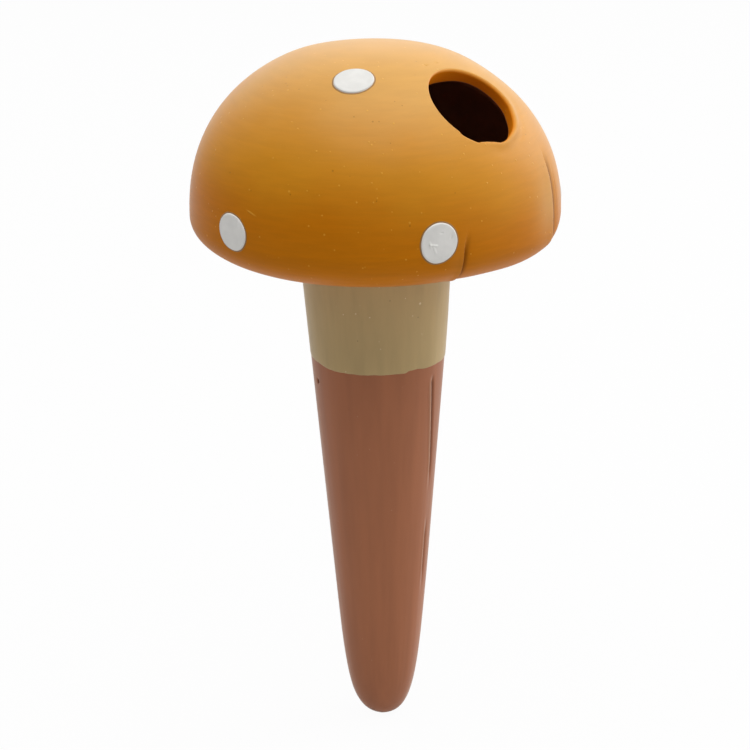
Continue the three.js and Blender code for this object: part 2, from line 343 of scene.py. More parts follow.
class WatererStem(bpy.types.PropertyGroup):
    """Sizes of the hollow stem and the paint on its neck."""

    radius: length("Radius", "Radius at the soil line", 18.65 * MM)
    taper: number("Taper", "Radius gained for each unit of height", 0.0835)
    tip: length("Tip", "Height of the tip", STEM_LOW.z)
    top: length("Top", "Height of the top end inside the cap", STEM_HIGH.z)
    wall: length("Wall", "Thickness of the clay", 4.5 * MM)
    tip_wall: length("Tip wall", "Thickness of the clay at the tip", 6 * MM)
    nose: length("Nose", "Length that rounds to the tip", 44 * MM)
    nose_start: number("Nose start", "Power of the curve where the nose starts", 4.6)
    nose_end: number("Nose end", "Power of the curve at the tip", 3.2)
    facets: length("Facets", "Depth of the shaved facets", 0.16 * MM)
    bulge: length("Bulge", "How much fuller the right side is", 0.35 * MM)
    slant: number("Tip slant", "How steeply the left of the tip is rubbed off", 0.08)
    seam_azimuth: angle("Seam azimuth", "Where the mould's seam runs down the stem", 62)
    coat: length("Neck paint", "Thickness of the paint on the neck", 0.1 * MM)
    band_low: length("Paint line", "Height of the paint's lower edge", BAND_LOW.z)
    band_high: length("Paint top", "Height of the paint's upper edge", BAND_HIGH.z)


class WatererFinish(bpy.types.PropertyGroup):
    """Colours of the paints and the clay, and of the painted highlights and shade laid on them."""

    # The cap's paint runs paler from the rim through ochre to the crown: painted highlight
    mustard: colour("Mustard paint", "Paint on the cap, at its rim", (0.575, 0.18, 0.003))
    ochre: colour("Ochre", "Paint on the cap, half way up", (0.635, 0.255, 0.012))
    crown: colour("Faded mustard", "Paint on the cap, faded towards its crown", (0.63, 0.33, 0.075))
    # A paler mustard for the painted highlight on a fold's ridge
    painted_light: colour("Worn mustard", "Paint worn thin on the ridge of a fold", (0.72, 0.47, 0.2))
    # Grit painted lighter as its lit tops: grit with painted highlight
    lit_cap_grit: colour("Cap grit", "Grit in the cap's paint", (0.88, 0.48, 0.06))
    # The throat's paint, brighter and deeper orange than the cap's: paint with painted bounce light
    throat: colour("Throat", "Thick paint inside the mouth", (0.85, 0.25, 0.008))
    khaki: colour("Khaki paint", "Paint on the neck", (0.52, 0.375, 0.17))
    neck_grit: colour("Neck grit", "Grit in the neck's paint", (0.8, 0.68, 0.44))
    # The upper spots are painted greyer than the lower ones, where the overhead light is strongest: painted
    # shade
    white: colour("White paint", "Paint of the lower spots", (0.84, 0.825, 0.79))
    shaded_white: colour("Thin white", "Thinner paint of the upper spots", (0.71, 0.70, 0.67))
    # A dark ring at each spot's edge: painted shadow
    edge_shadow: colour("Brim", "Stain where a spot's paint ends", (0.32, 0.16, 0.04))
    clay: colour("Terracotta", "Bare clay of the spike", (0.395, 0.140, 0.060))
    clay_grit: colour("Clay grit", "Grit in the bare clay", (0.6, 0.36, 0.22))
    # A paler clay for the painted highlight on the mould seam's ridge
    rubbed: colour("Rubbed clay", "Clay rubbed pale along the mould's seam", (0.66, 0.38, 0.25))
    inside: colour("Inside", "Damp clay inside the cap", (0.38, 0.20, 0.13))


class WatererStudio(bpy.types.PropertyGroup):
    """The camera, the floor and the lights."""

    distance: length("Camera distance", "Camera to the soil line's centre", 0.7)
    elevation: angle("Camera elevation", "How far the camera looks down", 18.13)
    roll: angle("Camera roll", "How far the picture is turned", 0.84)
    focal: number("Focal length", "Focal length in millimetres on a 36 mm sensor", 119.9)
    aim: FloatVectorProperty(
        name="Aim",
        description="Point at the picture's centre",
        default=(-0.00074, 0, -0.00694),
        subtype="TRANSLATION",
    )
    key_power: number("Overhead power", "Power of the overhead softbox in watts", 7.8)
    side_power: number("Side power", "Power of the softbox at the back right in watts", 4.1)
    back_power: number("Backdrop power", "Power of the wide softbox behind the part in watts", 2.1)
    ambient: number("Ambient", "Brightness of the white room for diffuse light", 0.66)
    floor: colour("Floor", "Colour of the floor", (0.64, 0.64, 0.64))
    floor_glow: number("Floor glow", "Share of plain white in what the camera sees of the floor", 0.96)
    flag: colour("Flag", "Colour of the cards in front and at the left", (0.2, 0.2, 0.2))


def smoothstep(low, high, value):
    share = min(max((value - low) / (high - low), 0), 1)
    return share * share * (3 - 2 * share)


def within(span, height):
    """1 between the span's full heights, falling off smoothly to 0 at its top and its foot."""
    return smoothstep(span.top, span.full_top, height) * smoothstep(span.foot, span.full_foot, height)


def bell(distance, width):
    """1 at distance 0, falling off smoothly on both sides."""
    return math.exp(-((distance / width) ** 2))


def azimuth_of(point):
    return math.atan2(point.x, -point.y)


def turned(radius, height, azimuth):
    return Vector((radius * math.sin(azimuth), -radius * math.cos(azimuth), height))


def arc_between(azimuth, other):
    """The signed turn from one azimuth to another, within half a turn."""
    return (azimuth - other + math.pi) % FULL_TURN - math.pi


def spread(start, end, steps):
    return [start + (end - start) * i / steps for i in range(steps + 1)]


class CapSkin:
    """The cap's outer face, or a face inset from it.

    A dome curve runs above the widest line and a rim curve below it.
    """

    def __init__(self, cap, inset=0.0):
        self.hub = cap.hub
        self.radius = cap.radius - inset
        self.rise = cap.crown - cap.widest - inset
        self.fall = cap.widest - cap.rim - inset
        self.widest = cap.widest
        self.side_power = cap.side_power
        self.crown_power = cap.crown_power
        self.rim_power = cap.rim_power

    def dome(self, turn):
        """Radius and height on the dome: turn 0 is the crown and a quarter turn the widest line."""
        radius = self.radius * max(math.sin(turn), 0) ** (2 / self.side_power)
        return radius, self.widest + self.rise * max(math.cos(turn), 0) ** (2 / self.crown_power)

    def rim(self, turn):
        """Radius and height on the rim: turn 0 is the widest line and a quarter turn the hub."""
        radius = self.hub + (self.radius - self.hub) * max(math.cos(turn), 0) ** (2 / self.rim_power)
        return radius, self.widest - self.fall * max(math.sin(turn), 0) ** (2 / self.rim_power)

    def rim_turn(self, radius):
        share = (radius - self.hub) / (self.radius - self.hub)
        return math.acos(share ** (self.rim_power / 2))

    def dome_turn(self, height):
        return math.acos(((height - self.widest) / self.rise) ** (self.crown_power / 2))

    def _shares(self, point):
        radius = math.hypot(point.x, point.y)
        if point.z >= self.widest:
            return radius / self.radius, (point.z - self.widest) / self.rise
        return max(radius - self.hub, 0) / (self.radius - self.hub), (self.widest - point.z) / self.fall

    def level(self, point):
        """Below 0 inside the face and above 0 outside it."""
        out, along = self._shares(point)
        if point.z >= self.widest:
            return out**self.side_power + along**self.crown_power - 1
        return out**self.rim_power + along**self.rim_power - 1

    def normal(self, point):
        out, along = self._shares(point)
        if point.z >= self.widest:
            outward = self.side_power / self.radius * out ** (self.side_power - 1)
            upward = self.crown_power / self.rise * along ** (self.crown_power - 1)
        else:
            outward = self.rim_power / (self.radius - self.hub) * out ** (self.rim_power - 1)
            upward = -self.rim_power / self.fall * along ** (self.rim_power - 1)
        return turned(outward, upward, azimuth_of(point)).normalized()

    def under(self, start, direction):
        """The point of the face that lies along direction from start, found by halving."""
        near, far = -FACE_SEARCH, FACE_SEARCH
        for _ in range(30):
            middle = (near + far) / 2
            if self.level(start + direction * middle) > 0:
                far = middle
            else:
                near = middle
        return start + direction * near


class Mouth:
    """The fill mouth's place on the dome, with axes across (along the azimuth) and up the slope."""

    def __init__(self, mouth, skin):
        self.sizes = mouth
        radius, height = skin.dome(skin.dome_turn(skin.widest + skin.rise - mouth.drop))
        self.centre = turned(radius, height, mouth.azimuth)
        self.axis = skin.normal(self.centre)
        self.across = Vector((math.cos(mouth.azimuth), math.sin(mouth.azimuth), 0))
        self.up = self.axis.cross(self.across)

    def polar(self, point):
        """Distance from the mouth's axis, clock angle round it and height along it."""
        arm = point - self.centre
        across, up = arm.dot(self.across), arm.dot(self.up)
        return math.hypot(across, up), math.atan2(up, across), arm.dot(self.axis)

    def at(self, distance, clock, height):
        across, up = distance * math.cos(clock), distance * math.sin(clock)
        return self.centre + self.across * across + self.up * up + self.axis * height

    def radius(self, clock):
        """Radius of the hand-cut hole at a clock angle."""
        radius = self.sizes.radius + self.sizes.shift * math.cos(clock - FRONT_CLOCK)
        for cut in MOUTH_CUTS:
            begun = smoothstep(cut.start - cut.soft, cut.start + cut.soft, clock)
            ended = smoothstep(cut.end - cut.soft, cut.end + cut.soft, clock)
            radius += cut.gain * (begun - ended)
        return radius

    def lip(self, clock):
        """Rounding of the outer lip at a clock angle: crisp at the front and soft at the back."""
        share = smoothstep(-0.5, 0.6, math.cos(clock - BACK_CLOCK))
        return self.sizes.front_lip + (self.sizes.back_lip - self.sizes.front_lip) * share

    def pared(self, clock):
        """Share, from 0 to 1, by which the wall is pared from inside at a clock angle."""
        return smoothstep(0, 0.8, math.cos(clock - PARED_CLOCK))

    def offset(self, point):
        """How far the lip's bead moves a point of the dome."""
        distance, clock, height = self.polar(point)
        if distance > 2 * self.sizes.radius or height < -self.sizes.radius:
            return 0
        brink = distance - self.radius(clock) - self.lip(clock)
        right = bell(arc_between(clock, BEAD_CLOCK), BEAD_SWEEP)
        proud = bell(brink - BEAD_DISTANCE, BEAD_WIDTH)
        trough = bell(brink - TROUGH_DISTANCE, TROUGH_WIDTH)
        return right * self.sizes.bead * (proud - TROUGH_SHARE * trough)


def fold_reach(fold, point):
    """Strength of a fold at a point's height, and the distance of the point beyond it."""
    strength = smoothstep(fold.top, fold.top - FOLD_RISE, point.z)
    strength *= smoothstep(fold.foot, fold.foot + FOLD_RUNOUT, point.z)
    line = fold.azimuth + fold.bow * ((point.z - fold.waist) / BOW_SPAN) ** 2
    return strength, math.hypot(point.x, point.y) * arc_between(azimuth_of(point), line)


def fold_offset(point):
    """How far the folds move a point of the cap along its normal."""
    offset = 0
    for fold in FOLDS:
        strength, along = fold_reach(fold, point)
        dropped = smoothstep(0, FOLD_STEP, along)
        set_in = fold.depth * math.exp(-max(along - FOLD_STEP, 0) / fold.recovery)
        proud = fold.ridge * bell(along, fold.ridge_width)
        offset += strength * (proud * (1 - dropped) - set_in * dropped)
    return offset


def fold_painted_shade(point):
    """Share of the painted shade in the folds' grooves at a point."""
    share = 0
    for fold in FOLDS:
        strength, along = fold_reach(fold, point)
        in_shade = bell(along - fold.stain, fold.stain_width)
        share += strength * in_shade * min(fold.depth / FULL_PAINTED_SHADE_DEPTH, 1)
    return min(share, 1)


def ridge_highlight(point):
    """Share of the painted highlight on the broad ridges before the folds at a point."""
    share = 0
    for fold in FOLDS:
        along = fold_reach(fold, point)[1]
        across = along / (HIGHLIGHT_SPREAD * fold.ridge_width)
        level = (2 * point.z - fold.top - fold.foot) / (fold.top - fold.foot)
        painted_light = math.exp(-(across**2) - 2 * level**2) * smoothstep(FOLD_STEP, 0, along)
        share += painted_light * min(fold.ridge_width / FULL_HIGHLIGHT_RIDGE, 1) ** 2
    return min(share, 1)


def hollow(point, depth):
    """A smooth hand-shaped hollow between 0 and depth."""
    wide = noise.noise(point / WIDE_HOLLOW)
    small = noise.noise(point / SMALL_HOLLOW)
    return depth * min(max(0.5 + 0.45 * wide + 0.15 * small, 0), 1)


class CapShape:
    """The cap's outer face with the mouth's lip, the folds, the dents and the unevenness of shaped clay."""

    def __init__(self, waterer):
        self.cap = waterer.waterer_cap
        self.skin = CapSkin(self.cap)
        self.inner = CapSkin(self.cap, self.cap.wall)
        self.mouth = Mouth(waterer.waterer_mouth, self.skin)
        self.depth = self.cap.unevenness
        self.dents = []
        for dent in DENTS:
            radius, height = self.skin.dome(self.skin.dome_turn(dent.height))
            self.dents.append((turned(radius, height, dent.azimuth), dent))

    def swell(self, point):
        """How far the full rim stands out at a point."""
        arc = arc_between(azimuth_of(point), SWELL_AZIMUTH)
        sweep = SWELL_SWEEP_BEYOND if arc > 0 else SWELL_SWEEP_BEFORE
        return self.cap.swell * within(SWELL_SPAN, point.z) * bell(arc, sweep)

    def shaped(self, point):
        """Where a point of the plain outer face lies in the shaped clay."""
        offset = fold_offset(point) + self.mouth.offset(point) + self.swell(point)
        offset -= hollow(point, self.depth)
        for middle, dent in self.dents:
            offset -= dent.depth * bell((point - middle).length, dent.width)
        return point + self.skin.normal(point) * offset


def spin_profile(bm, profile, arcs, centre=Vector(), axis=UP, out=Vector((0, -1, 0)), closed=False):
    """Turns a profile of (radius, height) points about an axis into a welded shell that faces out.

    The turn is made arc by arc, each given as a sweep and its steps.
    """
    verts = [bm.verts.new(centre + out * radius + axis * height) for radius, height in profile]
    pairs = list(zip(verts, verts[1:]))
    if closed:
        pairs.append((verts[-1], verts[0]))
    geom = verts + [bm.edges.new(pair) for pair in pairs]
    for sweep, steps in arcs:
        made = bmesh.ops.spin(
            bm,
            geom=geom,
            cent=centre,
            axis=axis,
            dvec=(0, 0, 0),
            angle=sweep,
            steps=steps,
            use_merge=len(arcs) == 1,
        )
        geom = made["geom_last"]
    bmesh.ops.remove_doubles(bm, verts=bm.verts[:], dist=WELD)
    bmesh.ops.recalc_face_normals(bm, faces=bm.faces[:])
    if bm.calc_volume(signed=True) < 0:
        bmesh.ops.reverse_faces(bm, faces=bm.faces[:])


def mesh_object(bm, name, material):
    """Puts a bmesh into the scene as an object at the origin."""
    mesh = bpy.data.meshes.new(name)
    bm.to_mesh(mesh)
    bm.free()
    mesh.materials.append(material)
    made = bpy.data.objects.new(name, mesh)
    bpy.context.scene.collection.objects.link(made)
    return made


def finished_piece(bm, name, node, material):
    """Makes a piece from a bmesh that stands for a node of the frame."""
    for face in bm.faces:
        face.smooth = True
    piece = mesh_object(bm, name, material)
    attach(piece, BODY)
    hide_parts(node)


def graded_arcs(fine_zones, fine_step, coarse_step):
    """Arcs of a full turn from azimuth 0, with small steps inside the zones of (from, to) azimuths."""
    arcs = []
    here = 0.0
    for start, end in fine_zones:
        arcs.append((start - here, max(round((start - here) / coarse_step), 1)))
        arcs.append((end - start, max(round((end - start) / fine_step), 1)))
        here = end
    arcs.append((FULL_TURN - here, max(round((FULL_TURN - here) / coarse_step), 1)))
    return arcs


def cap_shell_mesh(shape):
    """The dome's shell: outer and inner faces spun as one profile, with the mouth cut and lipped."""
    cap = shape.cap
    outer_end = shape.skin.rim_turn(cap.opening + cap.bevel)
    inner_end = shape.inner.rim_turn(cap.opening)
    profile = [shape.skin.dome(turn) for turn in spread(0, QUARTER, 64)]
    profile += [shape.skin.rim(turn) for turn in spread(0, outer_end, 40)[1:]]
    profile += [shape.inner.rim(turn) for turn in spread(inner_end, 0, 10)]
    profile += [shape.inner.dome(turn) for turn in spread(QUARTER, 0, 26)[1:]]
    bm = bmesh.new()
    arcs = graded_arcs(FOLD_ZONES, fine_step=math.radians(0.15), coarse_step=math.radians(1.0))
    spin_profile(bm, profile, arcs)
    cut_mouth(bm, shape)
    return bm


def coat_outside(bm, shape):
    """Adds layers for the paint and for the outer paint that carries the painted highlight, both 1 on the
    cap's outer face and 0 inside the cap.
    """
    middle = CapSkin(shape.cap, shape.cap.wall / 2)
    paint = bm.verts.layers.float.new("paint")
    highlit = bm.verts.layers.float.new("highlit")
    for vert in bm.verts:
        if middle.level(vert.co) > 0:
            vert[paint] = vert[highlit] = 1
    return paint, highlit


def cut_mouth(bm, shape):
    """Opens the shell at the mouth and joins outer and inner faces by a lipped throat."""
    mouth = shape.mouth
    cut_radius = mouth.sizes.radius + MOUTH_CUT
    middle = CapSkin(shape.cap, shape.cap.wall / 2)
    paint, highlit = coat_outside(bm, shape)
    crease_shade = bm.verts.layers.float.new("crease_shade")
    painted_light = bm.verts.layers.float.new("painted_light")
    doomed = []
    for face in bm.faces:
        distance, _, height = mouth.polar(face.calc_center_median())
        if distance < cut_radius and height > -2 * cut_radius:
            doomed.append(face)
    bmesh.ops.delete(bm, geom=doomed, context="FACES")
    edges = [edge for edge in bm.edges if edge.is_boundary]
    outer_edges = [edge for edge in edges if middle.level(edge.verts[0].co) > 0]
    inner_edges = [edge for edge in edges if middle.level(edge.verts[0].co) <= 0]
    for vert in bm.verts:
        if vert[paint]:
            # Painted shade in the folds' grooves and painted highlight on their ridges
            vert[crease_shade] = fold_painted_shade(vert.co)
            vert[painted_light] = ridge_highlight(vert.co)
            vert.co = shape.shaped(vert.co)
    first, last = throat_rings(bm, shape, paint, highlit)
    for loop, ring in ((outer_edges, first), (inner_edges, last)):
        bmesh.ops.triangle_fill(bm, use_beauty=True, edges=loop + ring, normal=mouth.axis)
    bmesh.ops.recalc_face_normals(bm, faces=bm.faces[:])


def throat_rings(bm, shape, paint, highlit):
    """Rings of the mouth from the dome over the lip, down the throat and out on the inner face."""
    mouth = shape.mouth
    sizes = mouth.sizes
    start_distance = sizes.radius + FIRST_RING
    circle = bmesh.ops.create_circle(bm, cap_ends=False, radius=start_distance, segments=240)["verts"]
    for vert in circle:
        vert.co = mouth.at(start_distance, math.atan2(vert.co.y, vert.co.x), 0)
    edges = list({edge for vert in circle for edge in vert.link_edges})

    def on_dome(distance, clock):
        return shape.shaped(shape.skin.under(mouth.at(distance, clock, 0), mouth.axis))

    def on_inner(distance, clock):
        return shape.inner.under(mouth.at(distance, clock, -shape.cap.wall), mouth.axis)

    def inner_edge(clock):
        wide = mouth.radius(clock) + sizes.flare * mouth.pared(clock)
        return wide, mouth.polar(on_inner(wide, clock))[2] + sizes.pared * mouth.pared(clock)

    def on_skin(share, clock):
        inner_distance = mouth.radius(clock) + mouth.lip(clock)
        return on_dome(start_distance + (inner_distance - start_distance) * share, clock)

    def on_lip(turn, clock):
        hole, lip = mouth.radius(clock), mouth.lip(clock)
        brink = mouth.polar(on_dome(hole + lip, clock))[2]
        distance = hole + lip * (1 - math.sin(turn))
        return mouth.at(distance, clock, brink - lip * (1 - math.cos(turn)))

    def in_throat(share, clock):
        hole, lip = mouth.radius(clock), mouth.lip(clock)
        wide, bottom = inner_edge(clock)
        top = mouth.polar(on_dome(hole + lip, clock))[2] - lip
        bottom += sizes.inner_lip
        return mouth.at(hole + (wide - hole) * share, clock, top + (bottom - top) * share)

    def on_inner_lip(turn, clock):
        wide, bottom = inner_edge(clock)
        distance = wide + sizes.inner_lip * (1 - math.cos(turn))
        return mouth.at(distance, clock, bottom + sizes.inner_lip * (1 - math.sin(turn)))

    # Each ring: how it is placed, how far along, and its share of paint and of the outer paint that carries
    # the painted highlight
    rings = [(on_skin, share, 1.0, 1.0) for share in spread(0, 1, 8)]
    rings += [(on_lip, turn, 1.0, 1 - turn / QUARTER) for turn in spread(0, QUARTER, 8)[1:]]
    rings += [(in_throat, share, 1.0, 0.0) for share in spread(0, 1, 6)[1:]]
    rings += [(on_inner_lip, turn, 0.0, 0.0) for turn in spread(0, QUARTER, 4)[1:]]
    rings += [(on_inner, sizes.radius + margin, 0.0, 0.0) for margin in LAST_RINGS]

    ring = circle
    first = edges
    for index, (place, step, coat, highlit_share) in enumerate(rings):
        if index:
            made = bmesh.ops.extrude_edge_only(bm, edges=edges)["geom"]
            ring = [item for item in made if isinstance(item, bmesh.types.BMVert)]
            fresh = set(ring)
            edges = [item for item in made if isinstance(item, bmesh.types.BMEdge)]
            edges = [edge for edge in edges if fresh.issuperset(edge.verts)]
        for vert in ring:
            vert.co = place(step, mouth.polar(vert.co)[1])
            vert[paint] = coat
            vert[highlit] = highlit_share
    return first, edges


class WATERER_OT_cap_shell(bpy.types.Operator):
    """Model the hollow cap with its fill mouth and the folds in its rim"""

    bl_idname = "waterer.cap_shell"
    bl_label = "Cap Shell"

    def execute(self, context):
        scene = context.scene
        shape = CapShape(scene)
        material = mustard_paint_material(scene.waterer_finish, shape.skin)
        finished_piece(cap_shell_mesh(shape), "painted_cap", "cap_dome", material)
        return {"FINISHED"}


class WATERER_OT_cap_base(bpy.types.Operator):
    """Model the ring under the cap, the slip seam round it and the slip fillet round the stem's top"""

    bl_idname = "waterer.cap_base"
    bl_label = "Cap Base"

    def execute(self, context):
        scene = context.scene
        shape = CapShape(scene)
        paint = mustard_paint_material(scene.waterer_finish, shape.skin)
        ring = underside_mesh(shape, scene.waterer_stem)
        finished_piece(ring, "cap_base_ring", "cap_underside", paint)
        finished_piece(seam_mesh(shape), "rim_slip_bead", "rim_slip_seam", paint)
        clay = terracotta_material(scene.waterer_finish)
        collar = fillet_mesh(shape, scene.waterer_stem)
        finished_piece(collar, "stem_slip_collar", "stem_slip_fillet", clay)
        return {"FINISHED"}


def underside_mesh(shape, stem):
    cap = shape.cap
    below_start = shape.skin.rim_turn(cap.hub + JOINT_GAP)
    below_end = shape.skin.rim_turn(cap.opening + cap.bevel - cap.seam)
    above_start = shape.inner.rim_turn(cap.opening - cap.seam)
    above_end = shape.inner.rim_turn(stem_radius(stem, cap.rim + cap.wall) + JOINT_GAP)
    profile = [shape.skin.rim(turn) for turn in spread(below_start, below_end, 14)]
    profile += [shape.inner.rim(turn) for turn in spread(above_start, above_end, 8)]
    bm = bmesh.new()
    spin_profile(bm, profile, [(FULL_TURN, 240)], closed=True)
    paint = coat_outside(bm, shape)[0]
    for vert in bm.verts:
        if vert[paint]:
            vert.co -= shape.skin.normal(vert.co) * hollow(vert.co, shape.depth)
    return bm


def seam_mesh(shape):
    cap = shape.cap
    outer = cap.opening - SLIP_GAP
    inner = cap.opening - cap.seam + SLIP_GAP
    below = [shape.skin.rim(shape.skin.rim_turn(cap.bevel + radius)) for radius in spread(inner, outer, 4)]
    above = [shape.inner.rim(shape.inner.rim_turn(radius)) for radius in (outer, inner)]
    bm = bmesh.new()
    spin_profile(bm, below + above, [(FULL_TURN, 240)], closed=True)
    paint = coat_outside(bm, shape)[0]
    for vert in bm.verts:
        if vert[paint]:
            ripple = noise.noise(vert.co / SLIP_RIPPLE_WIDTH)
            vert.co -= shape.skin.normal(vert.co) * SLIP_RIPPLE * (1 + ripple)
    return bm


def fillet_mesh(shape, stem):
    cap = shape.cap
    floor = cap.rim + cap.wall
    heel = stem_radius(stem, floor) + SLIP_GAP
    head = stem_radius(stem, stem.top) + SLIP_GAP
    lift = floor + JOINT_GAP
    profile = [(heel, lift)]
    profile += [
        (heel + SLIP_FOOT * (1 - math.sin(turn)), lift + (stem.top - lift) * (1 - math.cos(turn)))
        for turn in spread(0, QUARTER, 6)[:-1]
    ]
    profile.append((head, stem.top))
    bm = bmesh.new()
    spin_profile(bm, profile, [(FULL_TURN, 120)], closed=True)
    return bm


def stem_radius(stem, height):
    return stem.radius + stem.taper * height


def nose_radius(stem, wall, end, height):
    """Radius of the stem's outer face (wall 0) or of its bore, which is rounded towards its end."""
    share = min(max((end + stem.nose - height) / stem.nose, 0), 1)
    rounding = (1 - share**stem.nose_start) ** (1 / stem.nose_end)
    return (stem_radius(stem, height) - wall) * rounding


def nose_curve(stem, wall, end, steps):
    """Radius and height from a rounded end up to the start of the straight taper, closer near the end."""
    heights = [end + stem.nose * (1 - math.sin(turn)) for turn in spread(QUARTER, 0, steps)]
    return [(nose_radius(stem, wall, end, height), height) for height in heights]


def seam_reach(stem, azimuth, height):
    """Strength of the mould's seam at a height of the stem, and the distance beyond it."""
    strength = max(share * within(span, height) for span, share in SEAM_LENGTHS)
    line = stem.seam_azimuth - SEAM_DRIFT * max(height - SEAM_BEND, 0)
    return strength, stem_radius(stem, height) * arc_between(azimuth, line)


def along_seam(stem, azimuth, height, band):
    """What a band along the mould's seam amounts to at a place on the stem."""
    strength, along = seam_reach(stem, azimuth, height)
    return strength * band.amount * bell(along - band.distance, band.width)


def pinhole(stem, azimuth, height):
    """Share of the pinhole's depth at a place on the stem."""
    across = stem_radius(stem, height) * arc_between(azimuth, PINHOLE_AZIMUTH)
    return bell(math.hypot(across, height - PINHOLE_HEIGHT), PINHOLE_RADIUS)


def stem_painted_shade(stem, azimuth, height):
    """Share of the painted shade in the seam's groove and in the pinhole."""
    return min(along_seam(stem, azimuth, height, SEAM_PAINTED_SHADE) + 2 * pinhole(stem, azimuth, height), 1)


def round_stem(azimuth, waves):
    """A place in noise for an azimuth, with waves for how fast the noise changes round the stem."""
    return Vector((math.sin(azimuth), math.cos(azimuth), 0)) * waves


def stem_offset(stem, azimuth, height):
    """How far shaving, the mould's seam and a pinhole move the stem's face outwards."""
    facet = noise.noise(round_stem(azimuth, FACET_WAVES) + UP * (height / FACET_LENGTH))
    fine = noise.noise(round_stem(azimuth, FINE_FACET_WAVES) + UP * (height / FINE_FACET_LENGTH))
    offset = -stem.facets * min(max(0.5 + 0.5 * facet + 0.2 * fine, 0), 1)
    bulge = bell(arc_between(azimuth, BULGE_AZIMUTH), BULGE_SWEEP)
    offset += stem.bulge * bulge * within(BULGE_SPAN, height)
    for band in (SEAM_RIDGE, SEAM_GROOVE):
        offset += along_seam(stem, azimuth, height, band)
    return offset - PINHOLE_DEPTH * pinhole(stem, azimuth, height)


def stem_mesh(stem):
    outer = nose_curve(stem, 0, stem.tip, 40)
    heights = [outer[-1][1], FINE_STEM_FOOT, stem.band_low + PAINT_LAP, stem.top]
    for start, end, steps in zip(heights, heights[1:], (60, 36, 12)):
        outer += [(stem_radius(stem, z), z) for z in spread(start, end, steps)[1:]]
    bore = nose_curve(stem, stem.wall, stem.tip + stem.tip_wall, 12)
    bore.append((stem_radius(stem, stem.top) - stem.wall, stem.top))
    bm = bmesh.new()
    hole = FULL_TURN + PINHOLE_AZIMUTH
    zones = [
        (stem.seam_azimuth - SEAM_ZONE, stem.seam_azimuth + SEAM_ZONE),
        (hole - PINHOLE_ZONE, hole + PINHOLE_ZONE),
    ]
    arcs = graded_arcs(zones, fine_step=math.radians(0.75), coarse_step=math.radians(1.8))
    spin_profile(bm, outer + bore[::-1], arcs)
    stain = bm.verts.layers.float.new("stain")
    painted_light = bm.verts.layers.float.new("painted_light")
    for vert in bm.verts:
        radius, height = math.hypot(vert.co.x, vert.co.y), vert.co.z
        bore_radius = nose_radius(stem, stem.wall, stem.tip + stem.tip_wall, height)
        if 2 * radius > nose_radius(stem, 0, stem.tip, height) + bore_radius or height < bore[0][1]:
            azimuth = azimuth_of(vert.co)
            # Painted shade in the seam's groove and the pinhole, and painted highlight on the seam's ridge
            vert[stain] = stem_painted_shade(stem, azimuth, height)
            vert[painted_light] = along_seam(stem, azimuth, height, SEAM_HIGHLIGHT)
            above_tip = height - stem.tip
            shaved = stem_offset(stem, azimuth, height) * smoothstep(SHAVING_START, SHAVING_FULL, above_tip)
            rubbed = stem.slant * max(-vert.co.x, 0) * smoothstep(RUBBED_TOP, 0, above_tip)
            vert.co = turned(radius + shaved, height + rubbed, azimuth)
    return bm


class WATERER_OT_stem(bpy.types.Operator):
    """Model the hollow tapered stem of bare clay"""

    bl_idname = "waterer.stem"
    bl_label = "Clay Stem"

    def execute(self, context):
        scene = context.scene
        material = terracotta_material(scene.waterer_finish)
        stem = stem_mesh(scene.waterer_stem)
        finished_piece(stem, "clay_stem", "stem_spike", material)
        return {"FINISHED"}


def paint_line(stem, azimuth):
    """Height of the neck paint's lower edge, brushed a little unevenly."""
    wave = noise.noise(round_stem(azimuth, 2.2) + UP * 0.7)
    ripple = noise.noise(round_stem(azimuth, 9) + UP * 1.9)
    degrees = math.degrees(azimuth)
    notch = smoothstep(24, 28, degrees) - smoothstep(35, 46, degrees)
    left = smoothstep(-38, -65, degrees) - smoothstep(-100, -150, degrees)
    uneven = LINE_WAVE * wave + LINE_RIPPLE * ripple + LINE_NOTCH * notch + LINE_RISE * left
    return stem.band_low - LINE_DROP + uneven


def neck_paint_mesh(stem):
    """A thin sleeve of paint that follows the stem's facets, rounded at its lower edge."""
    bm = bmesh.new()
    low, high = stem.band_low, stem.band_high
    inner = stem_radius(stem, low) + COAT_GAP
    profile = [(inner + stem.coat * coat, low + lift) for coat, lift in COAT_EDGE]
    profile += [(stem_radius(stem, z) + COAT_GAP + stem.coat, z) for z in spread(low, high, 44)[1:]]
    profile += [(stem_radius(stem, z) + COAT_GAP, z) for z in (high, low)]
    zones = [(stem.seam_azimuth - SEAM_ZONE, stem.seam_azimuth + SEAM_ZONE)]
    arcs = graded_arcs(zones, fine_step=math.radians(0.9), coarse_step=math.radians(1.5))
    spin_profile(bm, profile, arcs, closed=True)
    for vert in bm.verts:
        azimuth = azimuth_of(vert.co)
        radius = math.hypot(vert.co.x, vert.co.y)
        share = (vert.co.z - low) / (high - low)
        height = vert.co.z + (paint_line(stem, azimuth) - low) * (1 - smoothstep(0, COAT_EDGE_SHARE, share))
        vert.co = turned(radius + stem_offset(stem, azimuth, height), height, azimuth)
    return bm


class WATERER_OT_neck_paint(bpy.types.Operator):
    """Model the coat of khaki paint round the neck"""

    bl_idname = "waterer.neck_paint"
    bl_label = "Neck Paint"

    def execute(self, context):
        scene = context.scene
        material = khaki_paint_material(scene.waterer_finish, scene.waterer_stem)
        coat = neck_paint_mesh(scene.waterer_stem)
        finished_piece(coat, "neck_coat", "neck_paint_band", material)
        return {"FINISHED"}


def stroke_distance(point, dab):
    """Distance from a point to a stroke's middle line."""
    start, end = Vector((*dab.start, 0)), Vector((*dab.end, 0))
    share = min(max((point - start).dot(end - start) / (end - start).length_squared, 0), 1)
    return (point - start.lerp(end, share)).length


